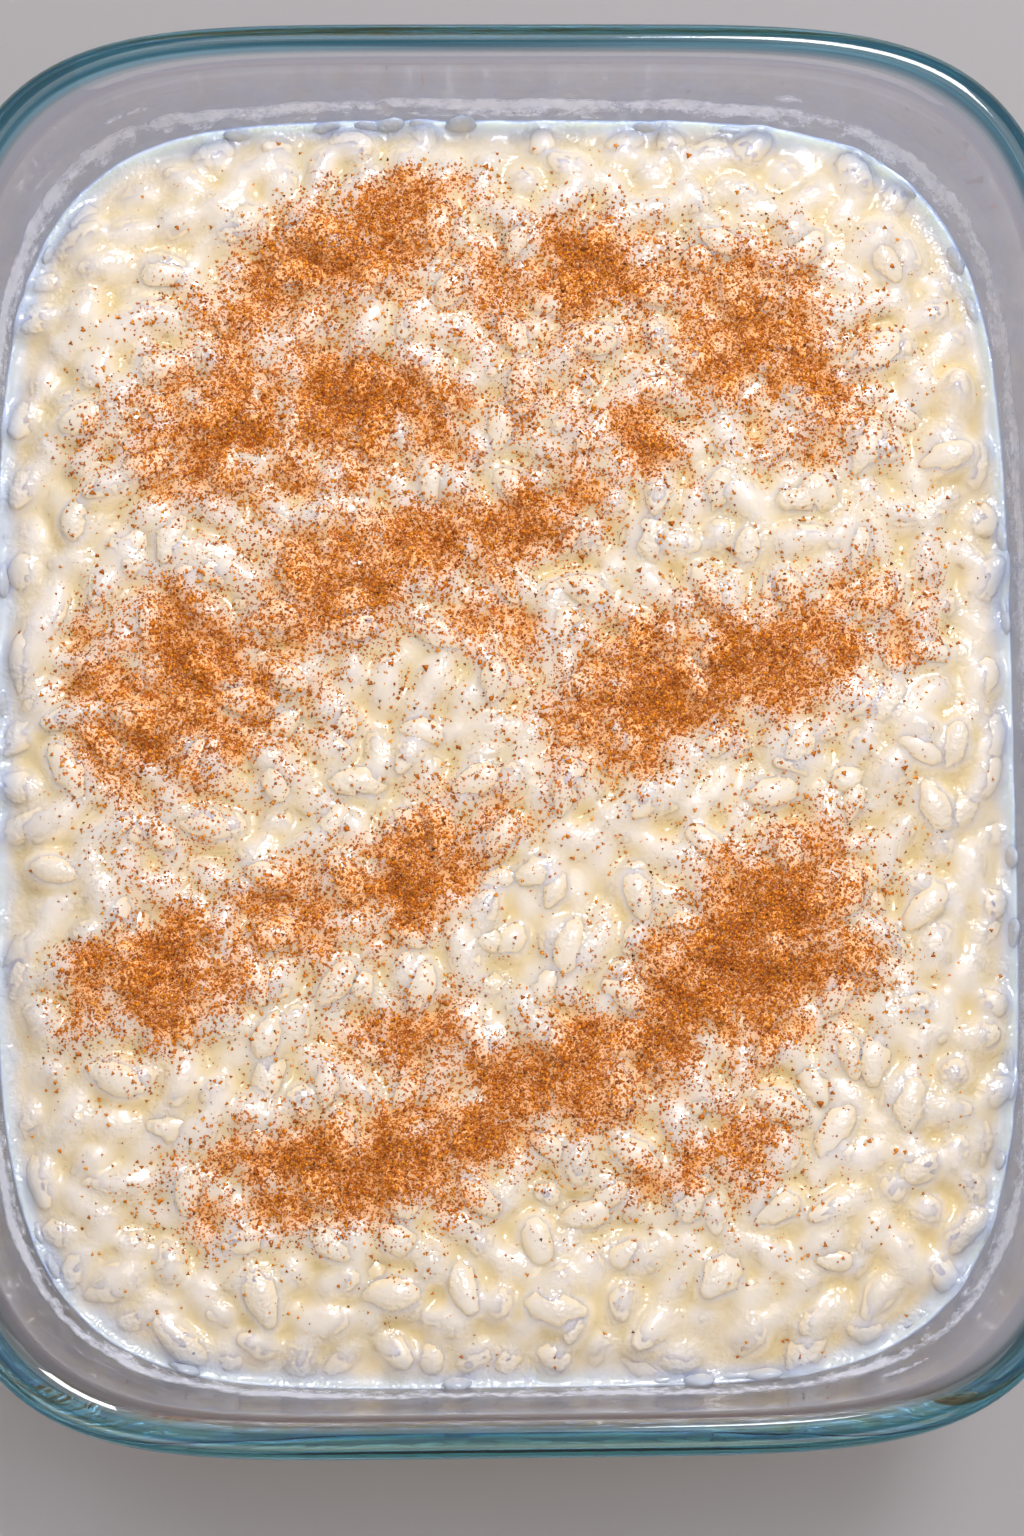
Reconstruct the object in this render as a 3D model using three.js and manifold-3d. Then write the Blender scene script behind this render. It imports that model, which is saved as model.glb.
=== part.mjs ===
// Rice pudding in a rectangular glass dish with round corners.
// Millimetres, +Z up, X across the dish, Y along it, origin at the middle of the base.

import * as THREE from "three";
import { mergeVertices } from "three/addons/utils/BufferGeometryUtils.js";
import Module from "manifold-3d";

const wasm = await Module();
wasm.setup();

// Dish
const RIM_HALF_WIDTH = 83; // outside of the rim, across X
const LENGTH_EXTRA = 19; // how much further every wall stands out along Y
const HEIGHT = 58;
const RIM_WIDTH = 6.2;
const RIM_DEPTH = 7; // height of the thick bead round the rim
const RIM_NECK = 9; // from the top of the bead down to where it runs into the outer wall
const WALL = 4;
const FLOOR = 4.5;
const DRAFT = THREE.MathUtils.degToRad(14);
const OUTER_FILLET = 15; // from the corner of wall and base to where each curve ends
const INNER_FILLET = 13;

// The outline is a superellipse that gets squarer towards the rim
const SQUARENESS_BASE = 4.3;
const SQUARENESS_RIM = 5.3;
const SIDES = 64;
const CORNER_CROWDING = 0.4; // share by which the sides' steps give way to the corners'
const CURVE_STEPS = 4;

// Pudding
const LEVEL = 39; // of the milk where it meets the glass
const CLEARANCE = 0.3; // between pudding and glass
const MOUND = 1.2; // how far the middle of the pudding stands above the milk ring
const SWELL = 0.8; // height of its slow swells
const SHOULDER = 12; // width of the slope from the milk ring up to the middle
const SPARE = 10; // by which a blank stands past the faces that trim it

// Bed of rice: a honeycomb, each cell of it the ground that one grain covers
const CELL = 6.4; // across the flats
const STRAY = 0.9; // of the cells' corners
const BUMP = 1.7;
const RIDGE = 0.5; // share of the way from the middle of a cell to its corner
const MILK_RING = [2, 7]; // from the glass to where the bumps start and where they are at full height

// Loose grains on top
const GRAINS = 52;
const GRAIN_LONGEST = [10, 5.2, 4.4]; // length, width, thickness
const GRAIN_SHORTEST = [7.8, 4.1, 3.5];
const GRAIN_FACES = [5, 3]; // round it, along it
const GRAIN_MARGIN = 8; // from the glass to the middle of the nearest grain
const GRAIN_RISE = 1; // of a grain's middle above the ground between the bumps
const GRAIN_TILT = THREE.MathUtils.degToRad(9);

const glass = new THREE.MeshStandardMaterial({ color: 0xb9d6d6, roughness: 0.05, metalness: 0 });
const rice = new THREE.MeshStandardMaterial({ color: 0xeee6cc, roughness: 0.35, metalness: 0 });

const squareness = (z) => {
  const up = THREE.MathUtils.clamp(z / HEIGHT, 0, 1);
  return SQUARENESS_BASE + (SQUARENESS_RIM - SQUARENESS_BASE) * up ** 3;
};

// Half-width of the cavity at a height, or of a face that lies further out
const wallAt = (z, outwards = 0) => {
  const down = HEIGHT - RIM_DEPTH / 2 - z;
  return RIM_HALF_WIDTH - RIM_WIDTH - down * Math.tan(DRAFT) + outwards / Math.cos(DRAFT);
};

// Half-width of the flat middle of the floor
const floorHalf = wallAt(FLOOR) - INNER_FILLET;

// Rounds the corner where a wall meets a flat floor, from the floor up
function fillet(path, outwards, floor, reach) {
  const corner = wallAt(floor, outwards);
  const top = floor + reach * Math.cos(DRAFT);
  path.lineTo(corner - reach, floor);
  path.quadraticCurveTo(corner, floor, wallAt(top, outwards), top);
}

// Points of a path, with one step for a line and more for a curve
function pointsOf(path) {
  const points = path.curves.flatMap((curve) => curve.getPoints(curve.isLineCurve ? 1 : CURVE_STEPS));
  return points.filter((p, i) => i === 0 || p.distanceTo(points[i - 1]) > 1e-6);
}

// The rounded bead, from where the neck meets it over the crown to the inner wall
function bead(path) {
  const [across, up] = [RIM_WIDTH / 2, RIM_DEPTH / 2];
  const [x, z] = [RIM_HALF_WIDTH - across, HEIGHT - up];
  const underside = -0.5; // radians below level
  const neckTop = z + up * Math.sin(underside);
  const neck = HEIGHT - RIM_NECK;
  path.lineTo(wallAt(neck, WALL), neck);
  path.quadraticCurveTo(
    wallAt(neckTop, WALL),
    (neck + neckTop) / 2,
    x + across * Math.cos(underside),
    neckTop,
  );
  path.absellipse(x, z, across, up, underside, Math.PI / 2, false, 0);
  path.absellipse(x, z, across, up, Math.PI / 2, Math.PI, false, 0);
}

function dishProfile() {
  const outside = new THREE.Path().moveTo(0, 0);
  fillet(outside, WALL, 0, OUTER_FILLET);
  bead(outside);
  const inside = new THREE.Path().moveTo(0, FLOOR);
  fillet(inside, 0, FLOOR, INNER_FILLET);
  return [...pointsOf(outside), ...pointsOf(inside).reverse()];
}

// What the cavity holds, up to a flat top above the pudding
function fillingProfile() {
  const top = LEVEL + SPARE;
  const path = new THREE.Path().moveTo(0, FLOOR + CLEARANCE);
  fillet(path, -CLEARANCE, FLOOR + CLEARANCE, INNER_FILLET);
  path.lineTo(wallAt(top, -CLEARANCE), top);
  path.lineTo(0, top);
  return pointsOf(path);
}

// Turns a round lathed body into the dish's outline, keeping each height
function squareOff(geometry) {
  const position = geometry.getAttribute("position");
  for (let i = 0; i < position.count; i++) {
    const [x, y] = [position.getX(i), position.getY(i)];
    const radius = Math.hypot(x, y);
    const even = Math.atan2(y, x);
    const angle = even + (CORNER_CROWDING / 4) * Math.sin(4 * even);
    const [c, s] = [Math.cos(angle), Math.sin(angle)];
    const n = squareness(position.getZ(i));
    const reach = (Math.abs(c) ** n + Math.abs(s) ** n) ** (-1 / n);
    const length = radius + LENGTH_EXTRA * Math.min(1, radius / floorHalf);
    position.setXY(i, radius * c * reach, length * s * reach);
  }
  return geometry;
}

const turned = (profile) => squareOff(new THREE.LatheGeometry(profile, SIDES).rotateX(Math.PI / 2));

// How far a point lies inside the wall at the milk's level, along the line to the middle
function insetFromWall(x, y) {
  const half = wallAt(LEVEL);
  const n = squareness(LEVEL);
  const share = (Math.abs(x / half) ** n + Math.abs(y / (half + LENGTH_EXTRA)) ** n) ** (1 / n);
  return share < 1e-6 ? half : Math.hypot(x, y) * (1 / share - 1);
}

// The ground between the grains: a low mound with slow swells
function groundAt(x, y) {
  const rise = THREE.MathUtils.smoothstep(insetFromWall(x, y), 0, SHOULDER);
  const swell = Math.sin(x / 9.1 + 0.7) * Math.cos(y / 7.3) + 0.6 * Math.sin((x + y) / 12.7 + 2.1);
  return LEVEL + rise * (MOUND + SWELL * swell);
}

// Corner of the honeycomb, strayed from its regular place the same way for each cell that shares it
function cellCorner(x, y, k) {
  const angle = ((2 * k + 1) * Math.PI) / 6;
  const cornerX = x + (CELL / Math.sqrt(3)) * Math.cos(angle);
  const cornerY = y + (CELL / Math.sqrt(3)) * Math.sin(angle);
  const strayedX = cornerX + STRAY * Math.sin(5.3 * cornerX + 9.1 * cornerY);
  const strayedY = cornerY + STRAY * Math.sin(8.7 * cornerX - 6.1 * cornerY);
  return new THREE.Vector3(strayedX, strayedY, groundAt(strayedX, strayedY));
}

// Triangles of one cell, raised to a ridge that lies between two opposite corners
function bump(x, y, index) {
  const corner = (k) => cellCorner(x, y, (index + k) % 6);
  const full = BUMP * THREE.MathUtils.smoothstep(insetFromWall(x, y), ...MILK_RING);
  const [a, b] = [0, 3].map((k) => {
    const end = new THREE.Vector3(x, y, 0).lerp(corner(k), RIDGE);
    return end.setZ(groundAt(end.x, end.y) + full * (0.8 + 0.2 * Math.sin(index * 2.4 + k)));
  });
  return [
    [corner(5), corner(0), a],
    [corner(0), corner(1), a],
    [corner(1), b, a],
    [corner(1), corner(2), b],
    [corner(2), corner(3), b],
    [corner(3), corner(4), b],
    [corner(4), a, b],
    [corner(4), corner(5), a],
  ].flat();
}

// A sheet of bumps the size of grains, wider than the dish's cavity
function riceBed() {
  const rowStep = CELL * Math.sqrt(0.75);
  const reach = wallAt(LEVEL) + CELL;
  const rows = Math.ceil((reach + LENGTH_EXTRA) / rowStep);
  const columns = Math.ceil(reach / CELL);
  const points = [];
  for (let row = -rows; row <= rows; row++) {
    for (let column = -columns; column <= columns; column++) {
      const x = (column + (row % 2 ? 0.5 : 0)) * CELL;
      points.push(...bump(x, row * rowStep, (row + rows) * 7 + (column + columns) * 5));
    }
  }
  return new THREE.BufferGeometry().setFromPoints(points);
}

// Closes a sheet of triangles into a block that reaches straight down to a flat bottom
function blockUnder(sheet, bottom) {
  const top = mergeVertices(sheet, 1e-4);
  const { count, array } = top.getAttribute("position");
  const lower = array.map((value, i) => (i % 3 === 2 ? bottom : value));
  const faces = top.getIndex().array;
  const index = [...faces];
  const edges = new Set();
  for (let i = 0; i < faces.length; i += 3) {
    const [a, b, c] = faces.slice(i, i + 3);
    index.push(a + count, c + count, b + count);
    for (const edge of [[a, b], [b, c], [c, a]]) edges.add(edge.join());
  }
  for (const edge of edges) {
    const [a, b] = edge.split(",").map(Number);
    const isRim = !edges.has([b, a].join());
    if (isRim) index.push(a, a + count, b + count, a, b + count, b);
  }
  const block = new THREE.BufferGeometry();
  block.setAttribute("position", new THREE.Float32BufferAttribute([...array, ...lower], 3));
  return block.setIndex(index);
}

function grain(x, y, index, along) {
  const size = GRAIN_LONGEST.map((most, k) => THREE.MathUtils.lerp(most, GRAIN_SHORTEST[k], along));
  return new THREE.SphereGeometry(0.5, ...GRAIN_FACES)
    .rotateZ(Math.PI / 2)
    .scale(...size)
    .rotateY(GRAIN_TILT * Math.sin(index * 2.4))
    .rotateZ(index * 0.618034 * Math.PI)
    .translate(x, y, groundAt(x, y) + GRAIN_RISE);
}

// Loose grains spread by a low-discrepancy sequence, the largest first
function looseGrains() {
  const half = wallAt(LEVEL);
  const placed = [];
  for (let i = 1; placed.length < GRAINS; i++) {
    const x = (((0.5 + i * 0.7548776662) % 1) - 0.5) * 2 * half;
    const y = (((0.5 + i * 0.569840291) % 1) - 0.5) * 2 * (half + LENGTH_EXTRA);
    if (insetFromWall(x, y) > GRAIN_MARGIN) placed.push(grain(x, y, i, placed.length / GRAINS));
  }
  return placed;
}

// The same faces with shared corners merged
const weld = (geometry) => {
  const bare = new THREE.BufferGeometry().setAttribute("position", geometry.getAttribute("position"));
  return mergeVertices(bare.setIndex(geometry.getIndex()), 1e-4);
};

const solidFrom = (geometry) => {
  const closed = weld(geometry);
  const vertProperties = closed.getAttribute("position").array;
  const triVerts = new Uint32Array(closed.getIndex().array);
  return new wasm.Manifold(new wasm.Mesh({ numProp: 3, vertProperties, triVerts }));
};

const geometryFrom = (solid) => {
  const mesh = solid.getMesh();
  const geometry = new THREE.BufferGeometry();
  geometry.setAttribute("position", new THREE.BufferAttribute(mesh.vertProperties, mesh.numProp));
  return geometry.setIndex(new THREE.BufferAttribute(mesh.triVerts, 1));
};

function pudding() {
  const bed = solidFrom(blockUnder(riceBed(), -SPARE));
  const core = solidFrom(turned(fillingProfile())).intersect(bed);
  return geometryFrom(wasm.Manifold.union([core, ...looseGrains().map(solidFrom)]));
}

function addPiece(group, name, geometry, material) {
  const mesh = new THREE.Mesh(geometry, material);
  mesh.name = name;
  group.add(mesh);
}

const part = new THREE.Group();
addPiece(part, "dish", weld(turned(dishProfile())), glass);
addPiece(part, "pudding", pudding(), rice);

export default part;
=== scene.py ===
"""Rice pudding dusted with cinnamon, in a rectangular glass dish.

Sizes are in millimetres and become metres when a mesh is made, X across the dish, Y along it, +Z up.
"""

import math

import bpy
import numpy as np
from mathutils import Matrix, Vector
from mathutils.bvhtree import BVHTree


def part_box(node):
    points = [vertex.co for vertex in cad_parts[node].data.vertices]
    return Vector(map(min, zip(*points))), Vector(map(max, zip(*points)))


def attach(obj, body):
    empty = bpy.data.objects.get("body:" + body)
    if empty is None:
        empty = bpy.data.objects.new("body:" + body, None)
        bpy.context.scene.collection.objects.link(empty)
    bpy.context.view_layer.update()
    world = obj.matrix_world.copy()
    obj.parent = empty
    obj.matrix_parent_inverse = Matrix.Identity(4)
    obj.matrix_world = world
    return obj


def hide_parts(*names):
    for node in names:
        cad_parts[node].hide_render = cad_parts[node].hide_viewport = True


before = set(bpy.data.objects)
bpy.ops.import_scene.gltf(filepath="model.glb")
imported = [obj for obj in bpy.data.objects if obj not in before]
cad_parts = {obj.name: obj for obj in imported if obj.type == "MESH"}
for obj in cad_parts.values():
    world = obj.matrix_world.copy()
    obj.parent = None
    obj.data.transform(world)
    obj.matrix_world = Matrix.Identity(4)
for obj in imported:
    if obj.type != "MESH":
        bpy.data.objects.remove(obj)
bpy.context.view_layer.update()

MM = 0.001

# Dish, from the frame and from how such dishes are pressed
dish_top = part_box("dish")[1] / MM
RIM_HALF_WIDTH = dish_top.x
LENGTH_EXTRA = dish_top.y - dish_top.x  # how much further every wall stands out along Y
HEIGHT = dish_top.z
RIM_WIDTH = 6.2
RIM_DEPTH = 7.0
RIM_NECK = 9.0
WALL = 4.0
FLOOR = 4.5
DRAFT = math.radians(14)
OUTER_FILLET = 15.0
INNER_FILLET = 13.0
SQUARENESS_BASE = 4.3
SQUARENESS_RIM = 5.3
CORNER_CROWDING = 0.4  # share by which the sides' steps give way to the corners'
DISH_STEPS = 256

# Pudding
LEVEL = 39.0  # of the milk where it meets the glass
MOUND = 1.2
SWELL = 0.8
SHOULDER = 12.0
MENISCUS = 0.7  # how far the milk climbs the glass
MENISCUS_WIDTH = 0.9
REACH = 0.18  # of the pudding into the glass, so that no air shows between them
CREAM_CELLS = (262, 330)
SIDE_RINGS = 9
SKIN = 0.24  # of milk over a coated grain
BARE_STAND = 0.5  # how far a bare grain stands out of the milk
FLANK_DROP = 0.6  # from a grain's top to the milk that climbs its side
GLASS_DIP = 0.3  # of the milk just inside its edge

# Grains of rice
GRAIN_MESH = (10, 7)  # segments round a grain and rings along it
GLASS_GRAIN_MESH = (9, 6)
GRAIN_LONGEST = (10.0, 5.2, 4.4)
GRAIN_SHORTEST = (7.8, 4.1, 3.5)
FIXED_GRAINS = 52  # the loose grains that the frame's solid has too
GRAIN_MARGIN = 8.0
GRAIN_RISE = 1.0
GRAIN_TILT = math.radians(9)
BARE_TONE = 0.9  # the bed's grains of a higher tone are bare of milk
BARE_MARGIN = 12.0  # nearer the glass all of the bed's grains are coated
BED_GRAINS = 821  # laid out over the whole rectangle, where some fall into the cut-off corners
BED_MARGIN = 3.8  # from the glass to the middle of the nearest grain of the bed
BED_DISTANCE = 5.9  # to which crowded grains of the bed are pushed apart
BED_RISE = 1.9
EXTRA_GRAINS = 110
WALL_ROWS = 7  # of grains that lie against the glass, from the milk's edge down to the floor
WALL_COLUMNS = 118
FLOOR_GRAINS = 300
GLASS_GRAIN_THICKNESS = 1.7
ACROSS_STEP = 0.7548776662  # shares of a rectangle's sides whose multiples spread evenly over it
ALONG_STEP = 0.569840291
TURN_STEP = 0.618034 * math.pi
RASTER = 0.4  # between the points at which the relief's height is worked out
RASTER_MARGIN = 3.0

# Colours of rice and milk: raised parts, a darker warm colour painted as shade in hollows and creases, pale
# parts, and what shows through the dish's sides
RICE_COLOURS = ((0.65, 0.57, 0.49, 1), (0.61, 0.475, 0.27, 1), (0.70, 0.63, 0.575, 1), (0.97, 0.93, 0.82, 1))
MILK_COLOURS = ((0.65, 0.575, 0.50, 1), (0.61, 0.475, 0.26, 1), (0.70, 0.63, 0.585, 1), (0.92, 0.84, 0.67, 1))
MILK_AT_GLASS = (0.42, 0.46, 0.56, 1)
PAINTED_FLANK_GLOW = (0.86, 0.715, 0.50, 1)  # painted light: a warm, light colour on the steep sides of grains that stands in for the light coming out of them and warms their shade

# Glass
# painted shade: the inner faces' lavender tint dims what is seen through the wall from above, standing in for
# dim surroundings beyond it
INNER_GLASS_PAINTED_DIM = (0.50, 0.52, 0.67, 1)
OUTER_GLASS = (0.95, 0.96, 0.97, 1)
GLASS_SHADE = (0.97, 0.98, 1.0, 1)
RIM_DEEP = (0.001, 0.065, 0.14, 1)
# painted light: pale teal streaks along the bead, over its own deep teal, stand in for the light lines that
# refraction draws there
RIM_PAINTED_LIGHT_LINES = (0.08, 0.42, 0.68, 1)

# Dried milk on the glass
FILM_STEPS = 640
FILM_ROWS = 16
FILM_START = 1.0  # above the milk's edge
FILM_HEIGHT = 11.5
FILM_INSETS = (0.02, 0.08)  # from the glass to the film's back and to its face
FILM_SMEARS = ((126.8, 9.6), (60.5, 9.0), (-53.0, 10.0))  # angle in degrees, height above the milk's edge
FILM_THIN = (0.38, 0.40, 0.48, 1)
FILM_THICK = (0.56, 0.58, 0.66, 1)

# Cinnamon: darkest and brightest specks of each kind, and what lies too fine to be specks
BRIGHT_CINNAMON = ((0.52, 0.14, 0.01, 1), (0.88, 0.34, 0.035, 1))
BROWN_CINNAMON = ((0.34, 0.08, 0.006, 1), (0.64, 0.19, 0.015, 1))
DARK_CINNAMON = ((0.10, 0.03, 0.01, 1), (0.33, 0.09, 0.02, 1))
CRUMBS = ((0.30, 0.06, 0.003, 1), (0.68, 0.20, 0.012, 1))
STAIN = (0.92, 0.44, 0.14, 1)

# Cinnamon specks: piece, kind, how many, smallest, largest, how closely they keep to the patches
CINNAMON_PIECES = [
    ("cinnamon_bright", "bright", 22000, 0.26, 0.95, 1.2),
    ("cinnamon_orange", "bright", 26000, 0.22, 0.8, 1.15),
    ("cinnamon_brown", "brown", 22000, 0.24, 0.85, 1.1),
    ("cinnamon_dark", "dark", 7000, 0.22, 0.7, 1.2),
    ("cinnamon_flakes", "brown", 700, 0.7, 1.4, 0.8),
]

# Cinnamon patches: middle x and y, half length, half width, turn in degrees, strength
CINNAMON_PATCHES = [
    (-27, 70, 20, 7.5, 27, 1.0),
    (-14, 81, 7, 5, 0, 0.6),
    (-12, 85, 16, 4, 5, 0.3),
    (-33, 46, 22, 9.5, 3, 1.2),
    (-17, 48, 8, 6, 0, 0.6),
    (11, 69, 11, 8.5, 15, 1.0),
    (-7, 70, 6, 8, 0, 0.35),
    (38, 57, 15, 11.5, -45, 1.05),
    (19, 45, 8, 4.5, -30, 0.75),
    (6, 50, 16, 10, 0, 0.2),
    (-9, 29, 19, 5.5, 10, 0.8),
    (8, 34, 9, 6, 20, 0.6),
    (-21, 24, 9, 7, 0, 0.7),
    (-2, 18, 8, 6, 0, 0.8),
    (-47, 7, 19, 13, 15, 1.1),
    (20, 6, 13, 9, 10, 1.0),
    (43, 14, 18, 8.5, 15, 1.05),
    (-16, -18, 20, 6.5, 28, 0.85),
    (-14, -23, 9, 6, 25, 0.6),
    (-34, -24, 10, 5, 20, 0.4),
    (-52, -35, 15, 7.5, 14, 1.2),
    (-17, -41, 9, 5, 10, 0.7),
    (-50, -18, 8, 5, 0, 0.2),
    (35, -27, 17, 10, 38, 1.05),
    (43, -33, 9, 9, 0, 0.75),
    (27, -40, 9, 7, 0, 0.8),
    (-11, -57, 16, 9, 25, 1.0),
    (9, -49, 14, 7.5, 30, 0.85),
    (-35, -62, 13, 7.5, 10, 0.9),
    (29, -60, 10, 6, 20, 1.0),
]


# -------------------------------- the dish's outline


def squareness(z):
    return SQUARENESS_BASE + (SQUARENESS_RIM - SQUARENESS_BASE) * np.clip(z / HEIGHT, 0, 1) ** 3


def wall_at(z, outwards=0.0):
    """Half-width of the cavity at a height, or of a face that lies further out."""
    down = HEIGHT - RIM_DEPTH / 2 - z
    return RIM_HALF_WIDTH - RIM_WIDTH - down * math.tan(DRAFT) + outwards / math.cos(DRAFT)


FLOOR_HALF = wall_at(FLOOR) - INNER_FILLET


def crowded(angle):
    """Angles moved towards the corners, where the outline bends."""
    return angle + CORNER_CROWDING / 4 * np.sin(4 * angle)


def on_outline(radius, z, c, s):
    """The point of the outline of that half-width which lies in the direction c, s."""
    n = squareness(z)
    reach = (np.abs(c) ** n + np.abs(s) ** n) ** (-1 / n)
    half_length = radius + LENGTH_EXTRA * np.minimum(1, radius / FLOOR_HALF)
    return radius * c * reach, half_length * s * reach


def inset_from_wall(x, y):
    """How far a point lies inside the wall at the milk's level, along the line to the middle."""
    half = wall_at(LEVEL)
    n = squareness(LEVEL)
    share = (np.abs(x / half) ** n + np.abs(y / (half + LENGTH_EXTRA)) ** n) ** (1 / n)
    share = np.maximum(share, 1e-6)
    return np.minimum(np.hypot(x, y) * (1 / share - 1), half)


def smooth_step(value, low, high):
    t = np.clip((value - low) / (high - low), 0, 1)
    return t * t * (3 - 2 * t)


def ground_at(x, y):
    """The level of the milk between the grains: a low mound with slow swells."""
    rise = smooth_step(inset_from_wall(x, y), 0, SHOULDER)
    swell = np.sin(x / 9.1 + 0.7) * np.cos(y / 7.3) + 0.6 * np.sin((x + y) / 12.7 + 2.1)
    return LEVEL + rise * (MOUND + SWELL * swell)


def wander(x, y, size, seed):
    """Smooth random hills and hollows between -1 and 1, about size apart."""
    lattice = np.random.default_rng(seed).uniform(-1, 1, (128, 128))
    across = np.asarray(x) / size + 7.3
    along = np.asarray(y) / size + 3.1
    i = np.floor(across).astype(int)
    j = np.floor(along).astype(int)
    u = smooth_step(across - i, 0, 1)
    v = smooth_step(along - j, 0, 1)
    i, j, k, m = i % 128, j % 128, (i + 1) % 128, (j + 1) % 128
    near = lattice[i, j] * (1 - u) + lattice[k, j] * u
    far = lattice[i, m] * (1 - u) + lattice[k, m] * u
    return near * (1 - v) + far * v


# -------------------------------- modelling helpers


def deselect_all():
    if bpy.context.object and bpy.context.object.mode != "OBJECT":
        bpy.ops.object.mode_set(mode="OBJECT")
    bpy.ops.object.select_all(action="DESELECT")


def corners_of(obj):
    """A mesh's vertices in millimetres."""
    flat = np.zeros(len(obj.data.vertices) * 3)
    obj.data.vertices.foreach_get("co", flat)
    return flat.reshape(-1, 3) / MM


def set_corners(obj, corners):
    obj.data.vertices.foreach_set("co", (np.asarray(corners) * MM).ravel())
    obj.data.update()


def triangles_of(obj):
    obj.data.calc_loop_triangles()
    flat = np.zeros(len(obj.data.loop_triangles) * 3, int)
    obj.data.loop_triangles.foreach_get("vertices", flat)
    return flat.reshape(-1, 3)


def add_attribute(obj, name, values):
    layer = obj.data.attributes.new(name, "FLOAT", "POINT")
    layer.data.foreach_set("value", np.asarray(values, np.float32))


def piece_from(name, corners, triangles):
    """A new object at the origin from arrays of corners, in millimetres, and triangles."""
    mesh = bpy.data.meshes.new(name)
    mesh.vertices.add(len(corners))
    mesh.vertices.foreach_set("co", (corners * MM).ravel())
    mesh.loops.add(len(triangles) * 3)
    mesh.loops.foreach_set("vertex_index", triangles.ravel().astype(np.int32))
    mesh.polygons.add(len(triangles))
    mesh.polygons.foreach_set("loop_start", np.arange(0, len(triangles) * 3, 3, dtype=np.int32))
    mesh.update(calc_edges=True)
    mesh.validate()
    obj = bpy.data.objects.new(name, mesh)
    bpy.context.scene.collection.objects.link(obj)
    return obj


def smooth(obj):
    obj.data.polygons.foreach_set("use_smooth", np.ones(len(obj.data.polygons), bool))
    obj.data.update()


def finish_piece(obj, material, slot, *nodes):
    obj.data.materials.clear()
    obj.data.materials.append(material)
    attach(obj, "root")
    if nodes:
        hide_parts(*nodes)
    return obj


# -------------------------------- glass dish


def quadratic(start, control, end, steps):
    points = []
    for k in range(1, steps + 1):
        t = k / steps
        weights = ((1 - t) ** 2, 2 * t * (1 - t), t * t)
        points.append(tuple(sum(w * p[i] for w, p in zip(weights, (start, control, end))) for i in (0, 1)))
    return points


def ellipse_arc(middle, across, up, first, last, steps):
    angles = [first + (last - first) * k / steps for k in range(steps + 1)]
    return [(middle[0] + across * math.cos(a), middle[1] + up * math.sin(a)) for a in angles]


def fillet(outwards, floor, reach, steps):
    """Rounds the corner where a wall meets a flat floor, from the floor up."""
    corner = wall_at(floor, outwards)
    top = floor + reach * math.cos(DRAFT)
    start = (corner - reach, floor)
    return [start] + quadratic(start, (corner, floor), (wall_at(top, outwards), top), steps)


def wall_run(outwards, low, high, steps):
    heights = [low + (high - low) * k / steps for k in range(1, steps)]
    return [(wall_at(z, outwards), z) for z in heights]


def dish_profile():
    """Half of the dish's section: out along the base, up, over the bead and down to the inner floor."""
    across, up = RIM_WIDTH / 2, RIM_DEPTH / 2
    middle = (RIM_HALF_WIDTH - across, HEIGHT - up)
    bead = ellipse_arc(middle, across, up, -0.5, math.pi, 22)
    neck = HEIGHT - RIM_NECK
    neck_start = (wall_at(neck, WALL), neck)
    neck_bend = (wall_at(bead[0][1], WALL), (neck + bead[0][1]) / 2)
    outside = [(0, 0)] + fillet(WALL, 0, OUTER_FILLET, 8)
    outside += wall_run(WALL, outside[-1][1], neck, 7) + [neck_start]
    outside += quadratic(neck_start, neck_bend, bead[0], 5)[:-1] + bead
    inside = [(0, FLOOR)] + fillet(0, FLOOR, INNER_FILLET, 8)
    inside += wall_run(0, inside[-1][1], middle[1], 8)
    return outside + inside[::-1]


def make_dish():
    """The section is drawn by extruding one corner along it, then spun and squared off."""
    profile = dish_profile()
    deselect_all()
    bpy.ops.mesh.primitive_plane_add(size=MM, location=(0, 0, 0))
    dish = bpy.context.object
    dish.name = "glass_dish"
    bpy.ops.object.mode_set(mode="EDIT")
    bpy.ops.mesh.merge(type="CENTER")
    for here, there in zip(profile, profile[1:]):
        step = ((there[0] - here[0]) * MM, 0, (there[1] - here[1]) * MM)
        bpy.ops.mesh.extrude_region_move(TRANSFORM_OT_translate={"value": step})
    bpy.ops.mesh.select_all(action="SELECT")
    bpy.ops.mesh.spin(steps=DISH_STEPS, angle=2 * math.pi, center=(0, 0, 0), axis=(0, 0, 1))
    bpy.ops.mesh.select_all(action="SELECT")
    bpy.ops.mesh.remove_doubles(threshold=0.01 * MM)
    bpy.ops.mesh.normals_make_consistent(inside=False)
    bpy.ops.object.mode_set(mode="OBJECT")
    corners = corners_of(dish)
    radius = np.hypot(corners[:, 0], corners[:, 1])
    angle = crowded(np.arctan2(corners[:, 1], corners[:, 0]))
    x, y = on_outline(radius, corners[:, 2], np.cos(angle), np.sin(angle))
    set_corners(dish, np.stack([x, y, corners[:, 2]], axis=1))
    mark_bead(dish, radius, corners[:, 2])
    bpy.ops.object.shade_smooth()
    return finish_piece(dish, glass_material(), "dish_glass", "dish")


def mark_bead(dish, radius, z):
    """Marks the outside, the turn round the bead's middle from the inside over the top, and its tint."""
    outside = radius > wall_at(z) + 0.5
    turn = np.arctan2(z - (HEIGHT - RIM_DEPTH / 2), radius - (RIM_HALF_WIDTH - RIM_WIDTH / 2))
    turn = np.where(outside, math.pi - turn, 0)
    add_attribute(dish, "turn", turn)
    add_attribute(dish, "outside", outside)
    add_attribute(dish, "tint", smooth_step(turn, 0.6, 1.3) * smooth_step(z, HEIGHT - 7, HEIGHT - 5))


# -------------------------------- where the grains lie


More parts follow.
